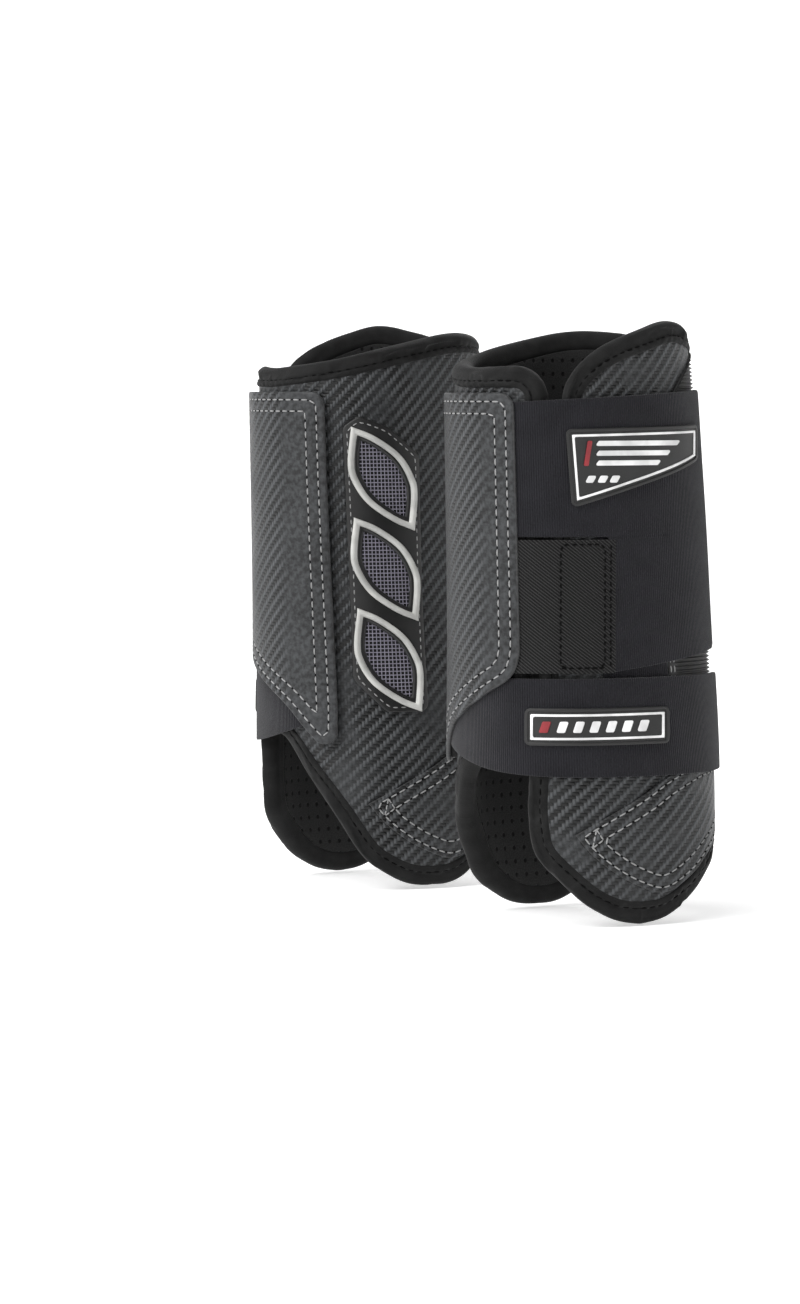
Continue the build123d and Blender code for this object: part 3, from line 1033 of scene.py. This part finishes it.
def bar_tacks(outer, inner):
    """The crossed stitches that close each end of the guard's two rows."""
    tacks = []
    for pick in (np.argmin, np.argmax):
        meeting = inner[pick(inner[:, 0])]
        level = outer[pick(outer[:, 0])][1]
        halves = (outer[outer[:, 1] > level], outer[outer[:, 1] <= level])
        ends = [half[nearest(half, meeting)] for half in halves]
        tacks += [np.array([meeting, ends[0]]), np.array([meeting, ends[1]]), np.array(ends)]
    return tacks


def heel_guard():
    """The stitched patch round the bottom of the back."""
    outline = guard_outline()
    rows = [mirrored_row(inward(outline, width, 1.2)) for width in GUARD_ROWS]
    slab("heel_patch", outline, GUARD, CARBON, "carbon_shell", replaces=("heel_guard",), rounding=0.45,
         spacing=2.5, grooves=[closed_line(row) for row in rows], groove_depth=0.3)
    sewn_rows("guard", rows, 1.0, radius=0.28)
    stitches("guard_tacks", bar_tacks(*rows), 1.05, PALE_THREAD, pitch=2.4, length=2.4,
             radius=0.26)


SPINE_FRONT, SPINE_REAR = 112.0, 212.0
SPINE_FOOT, SPINE_TOP = 72, 247
SPINE_COLUMNS = 46
SPINE_STITCHES = (74, 226)
RIB_PITCH = 1.7
RIB_STEPS = 6


def spine():
    """The back's fine level ribs, flat at both stitched edges. The top falls away to the front."""
    angles = np.linspace(SPINE_FRONT, SPINE_REAR, SPINE_COLUMNS)
    angle, height = np.meshgrid(angles, np.arange(SPINE_FOOT, SPINE_TOP + 3, RIB_PITCH / RIB_STEPS))
    ribbed = np.clip((np.minimum(angle - SPINE_FRONT, SPINE_REAR - angle) - 5) / 2, 0, 1)
    wave = 0.5 + 0.5 * np.cos(height / RIB_PITCH * math.tau)
    depth = 0.35 + ribbed * (1.1 * wave ** 1.5 - 0.3)
    height = np.minimum(height, SPINE_TOP - 0.012 * np.minimum(angle - 165, 0) ** 2)
    flat = np.stack([around(angle), height], axis=-1).reshape(-1, 2)
    count, numbers = len(flat), np.arange(len(flat)).reshape(height.shape)
    sides = (numbers[0, :-1], numbers[:-1, -1], numbers[-1, :0:-1], numbers[:0:-1, 0])
    rim = np.concatenate(sides).tolist()
    faces = [(b, a, count + a, count + b) for a, b in zip(rim, rim[1:] + rim[:1])]
    for a in numbers[:-1, :-1].ravel().tolist():
        quad = (a, a + 1, a + SPINE_COLUMNS + 1, a + SPINE_COLUMNS)
        faces += [quad, tuple(count + corner for corner in quad[::-1])]
    mesh = as_mesh(np.vstack([flat, flat]), np.append(depth, np.full(count, 0.02)), faces)
    both("spine_ribs", mesh, SPINE, replaces=("ribbed_spine",))
    edges = (SPINE_FRONT + 1.5, SPINE_FRONT + 4, SPINE_REAR - 1.5, SPINE_REAR - 4)
    rows = [unroll([(edge, height) for height in SPINE_STITCHES]) for edge in edges]
    stitches("spine_stitches", rows, 0.4, PALE_THREAD, radius=0.24)


# ---- straps ----

HINGE_ANGLE = 33.5
UPPER_ROOT, UPPER_END = 24, 148
LOWER_ROOT, LOWER_END = -24, 152
LOWER_FOOT = [(-24, 76), (-8, 71.5), (15, 67), (45, 65), (90, 64.6)]
ELASTIC_END = 12.5
ELASTIC_OVERLAP = 1.5
FORK, FORK_FOOT, FORK_SLIT = 167.0, 109.2, 0.6


def box(left, right, bottom, top, lean=0.0):
    """A four-sided outline's corners. Its top may lean to the right."""
    return [(left, bottom), (right, bottom), (right + lean, top), (left + lean, top)]


def strap_levels(depths, end_angle):
    """Depths on a strap. Cloth never lies quite flat: a slow wave, and a free end that stands off."""

    def lift(points):
        s, h = points[:, 0], points[:, 1]
        wave = 0.16 * np.sin(s / 13 + h / 31) + 0.1 * np.sin(s / 7.1 - h / 17)
        return np.clip(wave, -0.1, 1) + 0.5 * np.clip((s - around(end_angle) + 14) / 14, 0, 1) ** 2

    return [lambda points, depth=depth: depth + lift(points) for depth in depths]


def strap_cloth(name, strap, outline, levels, material, slot, nodes, rests_on, **extra):
    """Cloth that is sewn to the boot at one end. It is put on no body."""
    things = slab(name, outline, levels, material, slot, None, nodes, spacing=2.2, **extra)
    for side, thing in zip(SIDES, things):
        pivot = np.array(JOINTS[f"{side}_{strap}_strap_hinge"]["pos_m"])
        before, after = wall(np.array([HINGE_ANGLE - 1, HINGE_ANGLE + 1]), pivot[2] / MM)
        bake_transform(thing)


def upper_strap():
    """The wide strap, whose lower front corner is cut away for the elastic."""
    left, right, root = ELASTIC_END - ELASTIC_OVERLAP, around(UPPER_END), around(UPPER_ROOT)
    slit = FORK + FORK_SLIT
    corners = [(root, slit), from_view(left, slit), from_view(left, FORK_FOOT), from_view(55, 117.5),
               (right, 118), (right, 230.5), (root, 225)]
    outline = rounded(corners, [0.6, 0.8, 1, 1, 3, 2, 0.6], 1.2)
    seam = resample(all_from_view([(ELASTIC_END, FORK), (34, FORK + 1)]), 1.0)
    strap_cloth("upper_strap_cloth", "upper", outline, strap_levels(STRAP, UPPER_END), LOOP, "loop_fabric",
                ("upper_strap", "upper_strap_root"), ["shell", "landing"], rounding=0.55, grooves=[seam],
                groove_depth=0.35)


def elastic():
    """The fork's lower finger, with its stitched box and seam."""
    root, right, top = around(UPPER_ROOT), ELASTIC_END + ELASTIC_OVERLAP, FORK - FORK_SLIT
    corners = [(root, FORK_FOOT), from_view(right, FORK_FOOT), from_view(right, top), (root, top)]
    levels = strap_levels(INSERT, UPPER_END)
    strap_cloth("elastic", "upper", rounded(corners, 0.8, 1.2), levels, ELASTIC, "elastic",
                ("elastic_insert",), ["shell"], rounding=0.5)
    low, high = FORK_FOOT + 2.4, FORK - 2.6
    box_corners = all_from_view(box(-8.5, 9.4, low, high))
    rows = [rounded(box_corners[[1, 2, 3, 0]], 1.5), box_corners[:2],
            all_from_view([(11.8, low), (11.8, high)])]
    stitches("elastic_stitches", rows, levels[1], BLACK_THREAD_AND_HOLE_SHADE, "upper_strap", pitch=3.2,
             length=2.3)


def lower_strap():
    """The narrow strap, whose foot follows the shield's sweep."""
    foot = spline(unroll(LOWER_FOOT), 6.0)
    right, top = around(LOWER_END), 107
    corners = [*foot, (right, LOWER_FOOT[-1][1]), (right, top), (around(LOWER_ROOT), top)]
    outline = rounded(corners, [0.8] + [0.1] * (len(foot) - 1) + [1.5, 1.5, 0.8], 1.2)
    strap_cloth("lower_strap_cloth", "lower", outline, strap_levels(STRAP, LOWER_END), LOOP, "loop_fabric",
                ("lower_strap", "lower_strap_root"), ["shell", "landing"], rounding=0.55)


HOOK_START, HOOK_END = 84, 116
HOOK_PITCH = 1.9
HOOK_ROOT = np.array(box(-0.3, 0.3, -0.3, 0.3))
HOOK_TIP = HOOK_ROOT * 0.7 + (0.15, 0.2)
HOOK_DEPTHS = [1.0] * 4 + [0.78] * 4


def hooks(which, bottom, top):
    """A hook patch inside a strap: a thin base with rows of small hooks that point at the boot."""
    low, high = around(HOOK_START), around(HOOK_END)
    base = slab_mesh(rounded(box(low, high, bottom, top), 2.0, 1.5), HOOK_BASE, 0.1, spacing=5.0)
    across = np.arange(low + 2, high - 1.5, HOOK_PITCH)
    up = np.arange(bottom + 2, top - 1.5, HOOK_PITCH)
    centres = np.array(np.meshgrid(across, up)).reshape(2, -1).T
    flat = (centres[:, None, :] + np.vstack([HOOK_ROOT, HOOK_TIP])).reshape(-1, 2)
    faces = []
    for root in range(0, len(flat), 8):
        faces += band(root, root + 4, 4) + [range(root + 4, root + 8)]
    pile = as_mesh(flat, np.tile(HOOK_DEPTHS, len(centres)), faces)
    both(f"{which}_hooks", joined([base, pile]), HOOKS, f"{which}_strap", (f"{which}_hook_patch",))


def landing():
    """The loop panel on the flap that both straps' hooks grip."""
    outline = rounded(box(around(70), around(111), 68, 216), 3.0, 1.2)
    things = slab("landing", outline, LANDING, LOOP, "loop_fabric",
                  replaces=("upper_landing", "lower_landing"), rounding=0.2)


# ---- badges ----

BADGE_LEAN = 1.5


def badge(name, corners, strap, end_angle, bars, accent):
    """A moulded rubber badge: a raised border, a pale inline frame and plain raised bars."""
    outline = inward(rounded(all_from_view(corners), 1.6, 0.8), -0.8)
    back, face, floor, top = strap_levels(
        (BADGE_BACK, BADGE_FACE, BADGE_FACE - 0.45, BADGE_FACE + 0.05), end_angle)
    border = slab_mesh(outline, (back, face), 0.35, holes=[inward(outline, 1.5)], spacing=2.0)
    panel = slab_mesh(inward(outline, 1.45), (back, floor), 0.05, spacing=2.5)
    both(f"{name}_rubber", joined([border, panel]), BADGE_RUBBER, strap, (name,))
    lines = [slab_mesh(inward(outline, 2.5, 0.8), (floor, top), 0.12, holes=[inward(outline, 3.5, 0.8)],
                       spacing=1.5)]
    for bar in bars:
        lines.append(slab_mesh(rounded(all_from_view(bar), 0.5, 0.6), (floor, top), 0.12, spacing=1.5))
    both(f"{name}_lines", joined(lines), WHITE, strap, (f"{name}_frame",))
    mark = slab_mesh(rounded(all_from_view(accent), 0.3, 0.6), (floor, top), 0.1, spacing=1.5)
    both(f"{name}_accent", mark, RED, strap)


def row_of_bars(count, left, width, pitch, bottom, top):
    """Slanted bars side by side."""
    return [box(left + pitch * index, left + pitch * index + width, bottom, top, BADGE_LEAN)
            for index in range(count)]


def badges():
    """The upper one has three long bars over three short ones and the lower one a row of six.
    Each has a red bar too."""
    bars = [box(5, 38 - 4 * index, 206.5 - 4.2 * index, 208.7 - 4.2 * index, BADGE_LEAN)
            for index in range(3)]
    bars += row_of_bars(3, 1, 3.2, 4.8, 190.8, 193.8)
    red = row_of_bars(1, 0.5, 1.9, 0, 198.0, 208.7)[0]
    corners = [(-6, 213), (47, 214.5), (47, 200.5), (-3.5, 181)]
    badge("upper_badge", corners, "upper_strap", UPPER_END, bars, red)
    *bars, red = row_of_bars(6, -10, 3.5, 6.5, 84.1, 88.9) + row_of_bars(1, -17, 3.5, 0, 84.1, 88.9)
    badge("lower_badge", box(-22, 35, 79.3, 93.7), "lower_strap", LOWER_END, bars, red)


# ---- stage, in metres ----

FLOOR_GAP = 0.0006
FLOOR_RADIUS, CURVE_RADIUS = 6, 3
FLOOR_SIDES = 96
AREA_LIGHTS = [("key", (0.3, -1.9, 1.5), 0.9, 1.2, 30), ("back", (-1.3, 1.2, 1.2), 0.9, 0.9, 10)]
LIT_HEIGHT = 0.13
SUN_STRENGTH, SUN_ANGLE = 2.05, 50
SUN_DIRECTION = (-0.1, 0.5, -1)
WORLD_STRENGTH = 0.17

# The camera's place before VIEW_TURN takes it and its view round the boots
CAMERA_PLACE = (-0.0777, -2.16, 0.2367)
CAMERA_PITCH = 3.2055
CAMERA_LENS = 136.5


def stage():
    """A white round floor that curves up into a backdrop, and glows a little to stay white."""
    level = cad_box[0][2] - FLOOR_GAP
    profile = [(0.4, 0), (2, 0), (FLOOR_RADIUS, 0)]
    for turn in np.radians(np.arange(7.5, 91, 7.5)):
        out, up = CURVE_RADIUS * math.sin(turn), CURVE_RADIUS * (1 - math.cos(turn))
        profile.append((FLOOR_RADIUS + out, up))
    turns = [math.tau * step / FLOOR_SIDES for step in range(FLOOR_SIDES)]
    points = [(r * math.cos(turn), r * math.sin(turn), level + z) for r, z in profile for turn in turns]
    faces = [range(FLOOR_SIDES)]
    for ring in range(len(profile) - 1):
        faces += band(ring * FLOOR_SIDES, (ring + 1) * FLOOR_SIDES, FLOOR_SIDES)
    floor = add_mesh("floor", points, faces)
    floor.data.shade_smooth()
    white = Finish("floor", 0.9, Base_Color=grey(0.86), Emission_Color=grey(1.0), Emission_Strength=0.48)
    floor.data.materials.append(white.material)


def aimed(name, data, location, direction):
    """A light that shines along a direction."""
    thing = add(name, data)
    thing.location = location
    thing.rotation_euler = Vector(direction).to_track_quat("-Z", "Y").to_euler()
    return thing


def lights():
    """Soft light from the front and the back, and a wide sky."""
    for name, location, width, height, power in AREA_LIGHTS:
        data = bpy.data.lights.new(name, "AREA")
        data.shape = "RECTANGLE"
        data.size = width
        data.size_y = height
        data.energy = power
        aimed(name, data, location, Vector((-SPACING / 2, 0, LIT_HEIGHT)) - Vector(location))
    sky = bpy.data.lights.new("sky", "SUN")
    sky.energy = SUN_STRENGTH
    sky.angle = math.radians(SUN_ANGLE)
    aimed("sky", sky, (0, 0, 0), SUN_DIRECTION)
    world = bpy.data.worlds.new("studio")
    bpy.context.scene.world = world
    world.use_nodes = True
    background = world.node_tree.nodes["Background"]
    background.inputs["Color"].default_value = grey(1.0)
    background.inputs["Strength"].default_value = WORLD_STRENGTH
    bpy.context.scene.view_settings.view_transform = "Standard"


def camera():
    """Looks from the near boot's front and outer side, a little down."""
    data = bpy.data.cameras.new("camera")
    data.sensor_width = 36
    data.lens = CAMERA_LENS
    data.clip_end = 50
    eye = add("camera", data)
    eye.location = Matrix.Rotation(VIEW_TURN, 3, "Z") @ Vector(CAMERA_PLACE)
    eye.rotation_euler = (math.radians(90 - CAMERA_PITCH), 0, VIEW_TURN)
    bpy.context.scene.camera = eye


stage()
lights()
camera()
liner()
shell()
binding()
shield()
vents()
heel_guard()
spine()
landing()
upper_strap()
elastic()
hooks("upper", 124, 214)
lower_strap()
hooks("lower", 70, 101)
badges()
